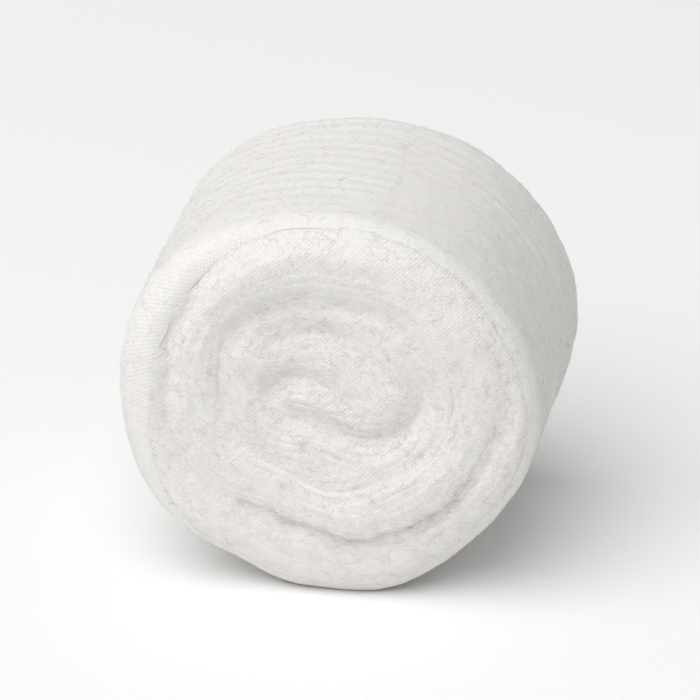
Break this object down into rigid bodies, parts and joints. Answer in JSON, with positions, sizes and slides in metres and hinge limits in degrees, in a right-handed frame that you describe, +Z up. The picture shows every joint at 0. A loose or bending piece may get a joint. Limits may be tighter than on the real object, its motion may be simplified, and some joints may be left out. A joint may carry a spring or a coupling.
{
  "type": "gauze bandage roll",
  "caption": "Small soft roll of white stretch gauze bandage, wound on itself with puffy creased ends, a folded core and faint ribs round its side.",
  "frame": {"origin": "centre of the roll's footprint on the surface it rests on", "axes": "+Z up, +Y along the roll's winding axis towards its calmer end, so the end with the deep creases faces -Y and +X is to its right"},
  "size_m": [0.0329, 0.0254, 0.0311],
  "materials": {
    "gauze": "soft matte white stretch gauze"
  },
  "bodies": {
    "root": {"gauze_roll": "gauze"}
  },
  "joints": []
}
